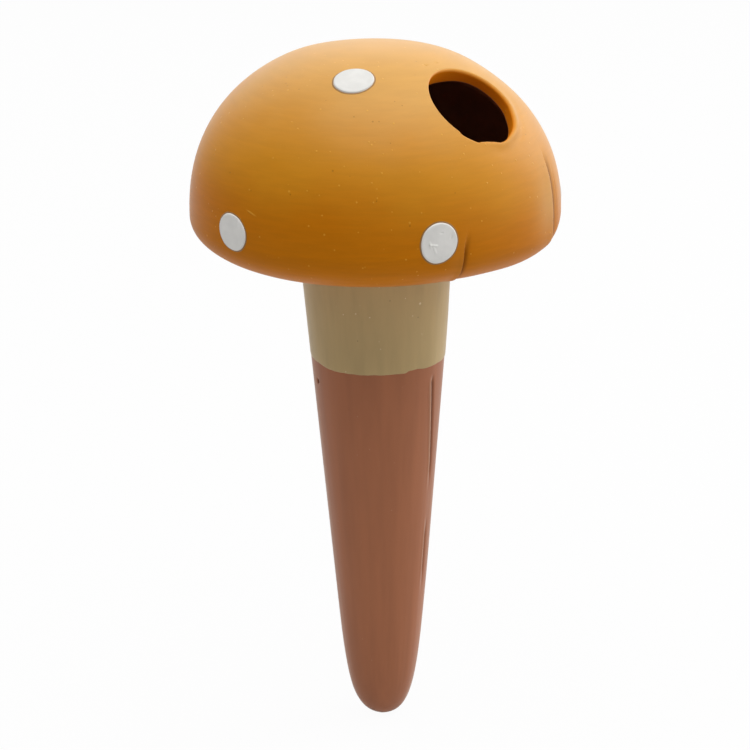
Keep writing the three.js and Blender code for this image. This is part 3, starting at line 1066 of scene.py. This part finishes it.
def spot_mesh(shape, node):
    """A dab of thick paint on the dome, a little uneven in outline, with a rounded and raised edge."""
    low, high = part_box(node)
    middle = (low + high) / 2
    axis = shape.skin.normal(middle)
    centre = shape.skin.under(middle, axis)
    azimuth = azimuth_of(centre)
    across = Vector((math.cos(azimuth), math.sin(azimuth), 0))
    up = axis.cross(across)
    profile = [(0, -SPOT_FOOT), (SPOT_RADIUS, -SPOT_FOOT)]
    profile += [(SPOT_RADIUS + out, lift) for out, lift in SPOT_SHADOW_RING]
    edge = profile[-1][1]
    profile += [
        (
            SPOT_RADIUS - SPOT_ROUNDING * (1 - math.cos(turn)),
            edge + (SPOT_THICKNESS - edge) * math.sin(turn),
        )
        for turn in spread(0, QUARTER, 6)[1:]
    ]
    profile += [(SPOT_RADIUS * share, SPOT_THICKNESS) for share in spread(0.92, 0, 36)]
    bm = bmesh.new()
    spin_profile(bm, profile, [(FULL_TURN, 128)], centre=centre, axis=axis, out=across)
    edge_shadow = bm.verts.layers.float.new("edge_shadow")
    squeeze = SPOT_SQUEEZES.get(node, Squeeze(0, 1, 0))
    thin = Vector((math.cos(squeeze.turn), math.sin(squeeze.turn), 0))
    seed = Vector((azimuth * 3, middle.z / (10 * MM), 0))
    for vert in bm.verts:
        arm = vert.co - centre
        height = arm.dot(axis)
        flat = Vector((arm.dot(across), arm.dot(up), 0))
        share = flat.length / SPOT_RADIUS
        # The ring outside the paint's edge carries the painted shadow
        vert[edge_shadow] = 1.0 if share > 1.01 else 0.0
        direction = flat.normalized() if flat.length > WELD else flat
        wave = noise.noise(direction * 0.8 + seed)
        ripple = noise.noise(direction * 3 + seed)
        flat *= 1 + SPOT_WAVE * wave + SPOT_RIPPLE * ripple
        if height > SPOT_THICKNESS / 2:
            height += SPOT_RIM * smoothstep(0.7, 0.93, share) * (1 - smoothstep(0.94, 1.0, share))
            height += SPOT_RELIEF * noise.noise(flat / SPOT_RELIEF_WIDTH + seed)
            for dab in SPOT_DABS.get(node, ()):
                height += dab.height * bell(stroke_distance(flat, dab), dab.width)
        flat -= thin * flat.dot(thin) * (1 - squeeze.share)
        flat.x += squeeze.shift
        base = shape.skin.under(centre + across * flat.x + up * flat.y, axis)
        vert.co = shape.shaped(base) + shape.skin.normal(base) * height
    return bm


class WATERER_OT_paint_spots(bpy.types.Operator):
    """Model the white paint spots on the cap"""

    bl_idname = "waterer.paint_spots"
    bl_label = "Paint Spots"

    def execute(self, context):
        scene = context.scene
        shape = CapShape(scene)
        material = white_paint_material(scene.waterer_finish)
        for node in sorted(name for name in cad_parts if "_spot_" in name):
            finished_piece(spot_mesh(shape, node), "painted_" + node, node, material)
        return {"FINISHED"}


def new_node(tree, kind, inputs):
    """A new shader node, its inputs set to values or joined to the outputs of other nodes."""
    node = tree.nodes.new("ShaderNode" + kind)
    for key, value in inputs.items():
        if isinstance(value, bpy.types.NodeSocket):
            tree.links.new(value, node.inputs[key])
        else:
            node.inputs[key].default_value = value
    return node


class Shader:
    """A node material being wired up."""

    def __init__(self, name, roughness, specular, sheen):
        self.material = bpy.data.materials.new(name)
        self.material.use_nodes = True
        self.tree = self.material.node_tree
        self.surface = self.tree.nodes["Principled BSDF"]
        self.surface.inputs["Roughness"].default_value = roughness
        self.surface.inputs["Specular IOR Level"].default_value = specular
        self.surface.inputs["Sheen Weight"].default_value = sheen
        self.surface.inputs["Sheen Roughness"].default_value = 0.3
        self.surface.inputs["Sheen Tint"].default_value = (1, 1, 0.95, 1)
        self.coordinates = self.node("TexCoord", {}).outputs["Object"]

    def node(self, kind, inputs):
        return new_node(self.tree, kind, inputs)

    def feed(self, name, output):
        """Joins an output to one of the surface's inputs."""
        self.tree.links.new(output, self.surface.inputs[name])

    def stretched(self, scale):
        """Object coordinates scaled on each axis, so that a pattern runs along the smallest one."""
        return self.node("Mapping", {"Vector": self.coordinates, "Scale": scale}).outputs["Vector"]

    def layer(self, name):
        """A layer of the mesh that marks part of its surface."""
        attribute = self.node("Attribute", {})
        attribute.attribute_name = name
        return attribute.outputs["Fac"]

    def along(self, axis):
        """The place along one axis of the part."""
        return self.node("SeparateXYZ", {"Vector": self.coordinates}).outputs[axis]

    def noise(self, vector, scale, detail=2.0, roughness=0.5):
        inputs = {"Vector": vector, "Scale": scale, "Detail": detail, "Roughness": roughness}
        return self.node("TexNoise", inputs).outputs["Fac"]

    def ramp(self, value, low, high, bottom=0.0, top=1.0):
        """A smooth run from bottom to top as the value goes from low to high."""
        inputs = {"Value": value, "From Min": low, "From Max": high, "To Min": bottom, "To Max": top}
        mapped = self.node("MapRange", inputs)
        mapped.interpolation_type = "SMOOTHSTEP"
        return mapped.outputs["Result"]

    def math(self, operation, first, second):
        node = self.node("Math", {0: first, 1: second})
        node.operation = operation
        return node.outputs["Value"]

    def specks(self, scale, size, share):
        """Scattered round specks: 1 inside a speck and 0 outside, in a share of the cells."""
        cells = self.node("TexVoronoi", {"Vector": self.coordinates, "Scale": scale})
        inside = self.ramp(cells.outputs["Distance"], size, size * 0.4)
        parts = self.node("SeparateColor", {"Color": cells.outputs["Color"]})
        chosen = self.math("LESS_THAN", parts.outputs["Red"], share)
        return self.math("MULTIPLY", inside, chosen)

    def marks(self, places, radius_at):
        """1 inside any of the round marks at places of azimuth, height and radius, and 0 outside them."""
        inside = None
        for degrees, height, radius in places:
            place = turned(radius_at(height * MM), height * MM, math.radians(degrees))
            apart = self.node("VectorMath", {0: self.coordinates, 1: place})
            apart.operation = "DISTANCE"
            mark = self.ramp(apart.outputs["Value"], radius * MM, 0.5 * radius * MM)
            inside = self.math("MAXIMUM", inside, mark) if inside else mark
        return inside

    def scratch(self, start, end, width):
        """1 along a fine line from start to end, and 0 away from it."""
        line = end - start
        inputs = {
            "Vector": self.coordinates,
            "Location": (start + end) / 2,
            "Rotation": line.to_track_quat("X", "Z").to_euler(),
            "Scale": (line.length / 2, width, width),
        }
        mapping = self.node("Mapping", inputs)
        mapping.vector_type = "TEXTURE"
        reach = self.node("VectorMath", {0: mapping.outputs["Vector"]})
        reach.operation = "LENGTH"
        return self.ramp(reach.outputs["Value"], 1.0, 0.5)

    def mix(self, factor, first, second):
        node = self.node("Mix", {})
        node.data_type = "RGBA"
        sockets = {socket.identifier: socket for socket in (*node.inputs, *node.outputs)}
        self.tree.links.new(factor, sockets["Factor_Float"])
        for name, value in (("A_Color", first), ("B_Color", second)):
            if isinstance(value, bpy.types.NodeSocket):
                self.tree.links.new(value, sockets[name])
            else:
                sockets[name].default_value = (*value, 1)
        return sockets["Result_Color"]

    def varied(self, value, paint, darker, lighter):
        """A paint that runs from a darker to a lighter shade of itself."""
        return self.mix(value, shade(paint, darker), shade(paint, lighter))

    def over(self, base, marks, share, paint):
        """A base colour with a share of another paint where marks is 1."""
        return self.mix(self.math("MULTIPLY", marks, share), base, paint)

    def total(self, *terms):
        """The sum of pairs of a value and its weight."""
        result = None
        for value, weight in terms:
            part = self.math("MULTIPLY", value, weight)
            result = self.math("ADD", result, part) if result else part
        return result

    def bump(self, height, strength, distance):
        inputs = {"Height": height, "Strength": strength, "Distance": distance}
        self.feed("Normal", self.node("Bump", inputs).outputs["Normal"])


def shade(value, amount):
    return tuple(min(channel * amount, 1) for channel in value)


def known(name, make):
    """A material that is made once and shared by the pieces that wear it."""
    return bpy.data.materials.get(name) or make(name)


def mustard_paint_material(finish, skin):
    def dome_radius(height):
        return skin.dome(skin.dome_turn(height))[0]

    def on_dome(degrees, height):
        return turned(dome_radius(height * MM), height * MM, math.radians(degrees))

    def make(name):
        shader = Shader(name, roughness=0.45, specular=0.15, sheen=0.25)
        strokes = shader.noise(shader.stretched((1, 1, 9)), 90, detail=4, roughness=0.6)
        clouds = shader.noise(shader.coordinates, 42, detail=3)
        grain = shader.noise(shader.coordinates, 1500, detail=2)
        pits = shader.specks(scale=300, size=0.07, share=0.4)
        pits = shader.math("MAXIMUM", pits, shader.marks(CAP_PITS_AND_SHADOWS, dome_radius))
        beads = shader.specks(scale=330, size=0.115, share=0.9)
        beads = shader.math("MAXIMUM", beads, shader.marks(CAP_GRIT, dome_radius))
        scratch = shader.scratch(on_dome(*SCRATCH_START), on_dome(*SCRATCH_END), SCRATCH_WIDTH)
        beads = shader.math("MAXIMUM", beads, scratch)
        brushed = shader.ramp(strokes, 0.3, 0.7)
        # Mustard at the rim, ochre half way up and a paler tone at the crown and towards the right: painted
        # highlight where the light falls strongest. The clouds only vary it at random.
        low = shader.varied(brushed, finish.mustard, 0.96, 1.04)
        middle = shader.varied(brushed, finish.ochre, 0.97, 1.03)
        high = shader.varied(brushed, finish.crown, 0.97, 1.03)
        wander = shader.math("SUBTRACT", clouds, 0.5)
        level = shader.total((shader.along("Z"), 1), (shader.along("X"), 0.12), (wander, 16 * MM))
        outside = shader.layer("highlit")
        painted = shader.mix(shader.ramp(level, 44 * MM, 64 * MM), low, middle)
        painted = shader.mix(shader.ramp(level, 60 * MM, 88 * MM), painted, high)
        # The throat's colour is paint with painted bounce light
        painted = shader.mix(outside, finish.throat, painted)
        # Painted highlight on the folds' ridges
        painted = shader.over(painted, shader.layer("painted_light"), 0.4, finish.painted_light)
        # Painted shade in the folds' grooves
        painted = shader.over(painted, shader.layer("crease_shade"), 0.75, shade(finish.mustard, 0.4))
        # The pits painted darker, and dark marks just under grains: painted shade and painted shadows
        painted = shader.over(painted, pits, 0.42, shade(finish.mustard, 0.35))
        # Grit painted lighter as its lit tops: painted highlight. The scratch takes the same colour.
        painted = shader.over(painted, beads, 0.4, finish.lit_cap_grit)
        shader.feed("Base Color", shader.mix(shader.layer("paint"), finish.inside, painted))
        glossy = shader.total((shader.along("Z"), 1), (shader.along("X"), 0.3))
        gloss = shader.ramp(glossy, 42 * MM, 78 * MM, 0.04, 0.24)
        shader.feed("Specular IOR Level", shader.math("MULTIPLY", gloss, outside))
        bloom = shader.ramp(shader.along("Z"), 32 * MM, 48 * MM, 0.07, 0.3)
        shader.feed("Sheen Weight", shader.math("MULTIPLY", bloom, outside))
        relief = shader.total((strokes, 0.25), (grain, 0.16), (pits, -1), (beads, 3))
        shader.bump(relief, strength=0.35, distance=0.1 * MM)
        return shader.material

    return known("brushed_mustard", make)


def khaki_paint_material(finish, stem):
    khaki = finish.khaki

    def neck_radius(height):
        return stem_radius(stem, height)

    def make(name):
        shader = Shader(name, roughness=0.5, specular=0.32, sheen=0.42)
        strokes = shader.noise(shader.stretched((1, 1, 0.12)), 320, detail=3)
        clouds = shader.noise(shader.coordinates, 60, detail=3)
        grain = shader.noise(shader.coordinates, 1700, detail=2)
        specks = shader.specks(scale=330, size=0.08, share=0.8)
        specks = shader.math("MAXIMUM", specks, shader.marks(NECK_GRIT, neck_radius))
        pits = shader.marks(NECK_PITS, neck_radius)
        coat = shader.varied(shader.ramp(strokes, 0.3, 0.7), khaki, 0.95, 1.05)
        coat = shader.mix(shader.ramp(clouds, 0.35, 0.7, 0.0, 0.5), coat, shade(khaki, 1.08))
        coat = shader.over(coat, pits, 0.5, shade(khaki, 0.4))
        shader.feed("Base Color", shader.over(coat, specks, 0.7, finish.neck_grit))
        relief = shader.total((strokes, 1), (grain, 0.4), (specks, 1))
        shader.bump(relief, strength=0.3, distance=0.08 * MM)
        return shader.material

    return known("brushed_khaki", make)


def white_paint_material(finish):
    def make(name):
        shader = Shader(name, roughness=0.42, specular=0.35, sheen=0.05)
        clouds = shader.noise(shader.coordinates, 260, detail=4)
        strokes = shader.noise(shader.stretched((1, 1, 0.3)), 700, detail=3)
        cloudy = shader.ramp(clouds, 0.35, 0.7)
        # The lower spots' white, and the upper spots' white painted greyer: painted shade
        thick = shader.varied(cloudy, finish.white, 0.95, 1.02)
        painted_light = shader.varied(cloudy, finish.shaded_white, 0.96, 1.03)
        paint = shader.mix(shader.ramp(shader.along("Z"), 52 * MM, 76 * MM), thick, painted_light)
        # A dark ring at the spot's edge: painted shadow
        shader.feed("Base Color", shader.mix(shader.layer("edge_shadow"), paint, finish.edge_shadow))
        shader.bump(shader.total((clouds, 1), (strokes, 1)), strength=0.25, distance=0.1 * MM)
        return shader.material

    return known("dabbed_white", make)


def terracotta_material(finish):
    clay = finish.clay

    def make(name):
        shader = Shader(name, roughness=0.55, specular=0.32, sheen=0.48)
        streaks = shader.noise(shader.stretched((1, 1, 0.05)), 210, detail=4, roughness=0.55)
        broad = shader.noise(shader.stretched((1, 1, 0.18)), 60, detail=2)
        grain = shader.noise(shader.coordinates, 1500, detail=3, roughness=0.6)
        pits = shader.specks(scale=240, size=0.06, share=0.2)
        specks = shader.specks(scale=300, size=0.05, share=0.5)
        body = shader.varied(shader.ramp(streaks, 0.3, 0.7), clay, 0.94, 1.06)
        body = shader.mix(shader.ramp(broad, 0.35, 0.7, 0.0, 0.5), body, shade(clay, 1.12))
        # The pits painted darker: painted shade
        body = shader.over(body, pits, 0.5, shade(clay, 0.5))
        body = shader.over(body, specks, 0.5, finish.clay_grit)
        # Painted highlight on the mould seam's ridge
        body = shader.over(body, shader.layer("painted_light"), 0.7, finish.rubbed)
        # Painted shade in the seam's groove and in the pinhole
        shader.feed("Base Color", shader.mix(shader.layer("stain"), body, shade(clay, 0.1)))
        relief = shader.total((streaks, 1.2), (grain, 0.35), (pits, -1))
        shader.bump(relief, strength=0.35, distance=0.1 * MM)
        return shader.material

    return known("shaved_terracotta", make)


class WATERER_OT_studio(bpy.types.Operator):
    """Set up the camera, the pale floor and the soft lights"""

    bl_idname = "waterer.studio"
    bl_label = "Studio"

    def execute(self, context):
        studio = context.scene.waterer_studio
        set_camera(context.scene, studio)
        lay_floor(studio)
        stand_flag(studio, "front_flag", place=(-0.2, -0.95, 0.5), width=2.4, turn=0)
        stand_flag(studio, "left_flag", place=(-0.85, -0.38, 0.4), width=0.9, turn=math.radians(-66))
        hang_softbox("overhead_softbox", (0.08, -0.2, 0.98), size=(1.1, 1.1), power=studio.key_power)
        hang_softbox("back_right_softbox", (0.85, 0.45, 0.45), size=(0.7, 0.7), power=studio.side_power)
        hang_softbox("backdrop_softbox", (0, 1.0, 0.5), size=(2.2, 0.9), power=studio.back_power)
        light_room(context.scene, studio)
        context.scene.view_settings.view_transform = "Standard"
        return {"FINISHED"}


def set_camera(scene, studio):
    data = bpy.data.cameras.new("photo_camera")
    data.lens = studio.focal
    data.sensor_width = SENSOR_WIDTH
    camera = bpy.data.objects.new("photo_camera", data)
    scene.collection.objects.link(camera)
    back, above = math.cos(studio.elevation), math.sin(studio.elevation)
    stand = turned(studio.distance * back, studio.distance * above, 0)
    look = (Vector(studio.aim) - stand).to_track_quat("-Z", "Y")
    camera.location = stand
    camera.rotation_mode = "QUATERNION"
    camera.rotation_quaternion = look @ Quaternion((0, 0, 1), -studio.roll)
    scene.camera = camera


def hang_softbox(name, place, size, power):
    data = bpy.data.lights.new(name, "AREA")
    data.shape = "RECTANGLE"
    data.size, data.size_y = size
    data.energy = power
    lamp = bpy.data.objects.new(name, data)
    bpy.context.scene.collection.objects.link(lamp)
    lamp.location = place
    lamp.rotation_mode = "QUATERNION"
    lamp.rotation_quaternion = (-Vector(place)).to_track_quat("-Z", "Y")


def seen_plainly(tree):
    """1 for what the camera sees, also in a reflection or through glass, and 0 for diffuse light."""
    path = new_node(tree, "LightPath", {})
    seen = path.outputs["Is Camera Ray"]
    for kind in ("Is Glossy Ray", "Is Transmission Ray"):
        either = new_node(tree, "Math", {0: seen, 1: path.outputs[kind]})
        either.operation = "MAXIMUM"
        seen = either.outputs["Value"]
    return seen


def blend_into(tree, factor, first, second, output):
    """Sends a mix of two shaders to the output node."""
    blend = new_node(tree, "MixShader", {0: factor, 1: first, 2: second})
    tree.links.new(blend.outputs["Shader"], tree.nodes[output].inputs["Surface"])


def card_material(name, value):
    """A plain matt material of one colour."""
    material = bpy.data.materials.new(name)
    material.use_nodes = True
    surface = material.node_tree.nodes["Principled BSDF"]
    surface.inputs["Base Color"].default_value = (*value, 1)
    surface.inputs["Roughness"].default_value = 0.9
    return material


def lay_floor(studio):
    bm = bmesh.new()
    bmesh.ops.create_grid(bm, x_segments=1, y_segments=1, size=FLOOR_REACH)
    bmesh.ops.translate(bm, verts=bm.verts[:], vec=(0, 0, STEM_LOW.z - FLOOR_DROP))
    material = card_material("studio_floor", studio.floor)
    floor = mesh_object(bm, "studio_floor", material)
    tree = material.node_tree
    surface = tree.nodes["Principled BSDF"]
    surface.inputs["Specular IOR Level"].default_value = 0.0
    glow = new_node(tree, "Emission", {})
    share = new_node(tree, "Math", {0: seen_plainly(tree), 1: studio.floor_glow})
    share.operation = "MULTIPLY"
    matt, white = surface.outputs["BSDF"], glow.outputs["Emission"]
    blend_into(tree, share.outputs["Value"], matt, white, "Material Output")


def stand_flag(studio, name, place, width, turn):
    """A grey card beside the camera, which keeps the room's white off the part as a studio flag does."""
    bm = bmesh.new()
    bmesh.ops.create_grid(bm, x_segments=1, y_segments=1, size=0.5)
    bmesh.ops.scale(bm, verts=bm.verts[:], vec=(width, FLAG_HEIGHT, 1))
    bmesh.ops.rotate(bm, verts=bm.verts[:], matrix=Matrix.Rotation(QUARTER, 3, "X"))
    bmesh.ops.rotate(bm, verts=bm.verts[:], matrix=Matrix.Rotation(turn, 3, "Z"))
    bmesh.ops.translate(bm, verts=bm.verts[:], vec=place)
    flag = mesh_object(bm, name, card_material(name, studio.flag))
    flag.visible_camera = False


def light_room(scene, studio):
    """White to the camera and in reflections, and a softer white as diffuse light."""
    world = bpy.data.worlds.new("white_room")
    world.use_nodes = True
    tree = world.node_tree
    soft = tree.nodes["Background"]
    plain = new_node(tree, "Background", {})
    for node, strength in ((soft, studio.ambient), (plain, 1.0)):
        node.inputs["Color"].default_value = (1, 1, 1, 1)
        node.inputs["Strength"].default_value = strength
    whites = [node.outputs["Background"] for node in (soft, plain)]
    blend_into(tree, seen_plainly(tree), *whites, "World Output")
    scene.world = world


class WATERER_PT_sidebar(bpy.types.Panel):
    """Lists the waterer's pieces, sizes and colours"""

    bl_idname = "WATERER_PT_sidebar"
    bl_label = "Plant Waterer"
    bl_space_type = "VIEW_3D"
    bl_region_type = "UI"
    bl_category = "Waterer"

    def draw(self, context):
        for operator in OPERATORS:
            self.layout.operator(operator.bl_idname)
        for name in GROUPS:
            box = self.layout.box()
            group = getattr(context.scene, name)
            for key in group.bl_rna.properties.keys():
                if key not in ("rna_type", "name"):
                    box.prop(group, key)


GROUPS = {
    "waterer_cap": WatererCap,
    "waterer_mouth": WatererMouth,
    "waterer_stem": WatererStem,
    "waterer_finish": WatererFinish,
    "waterer_studio": WatererStudio,
}
OPERATORS = (
    WATERER_OT_studio,
    WATERER_OT_cap_shell,
    WATERER_OT_cap_base,
    WATERER_OT_stem,
    WATERER_OT_neck_paint,
    WATERER_OT_paint_spots,
)
CLASSES = (*GROUPS.values(), *OPERATORS, WATERER_PT_sidebar)


def register():
    for cls in CLASSES:
        bpy.utils.register_class(cls)
    for name, group in GROUPS.items():
        setattr(bpy.types.Scene, name, PointerProperty(type=group))


def unregister():
    for name in GROUPS:
        delattr(bpy.types.Scene, name)
    for cls in reversed(CLASSES):
        bpy.utils.unregister_class(cls)


def main():
    register()
    bpy.ops.waterer.studio()
    bpy.ops.waterer.cap_shell()
    bpy.ops.waterer.cap_base()
    bpy.ops.waterer.stem()
    bpy.ops.waterer.neck_paint()
    bpy.ops.waterer.paint_spots()


if __name__ == "__main__":
    main()
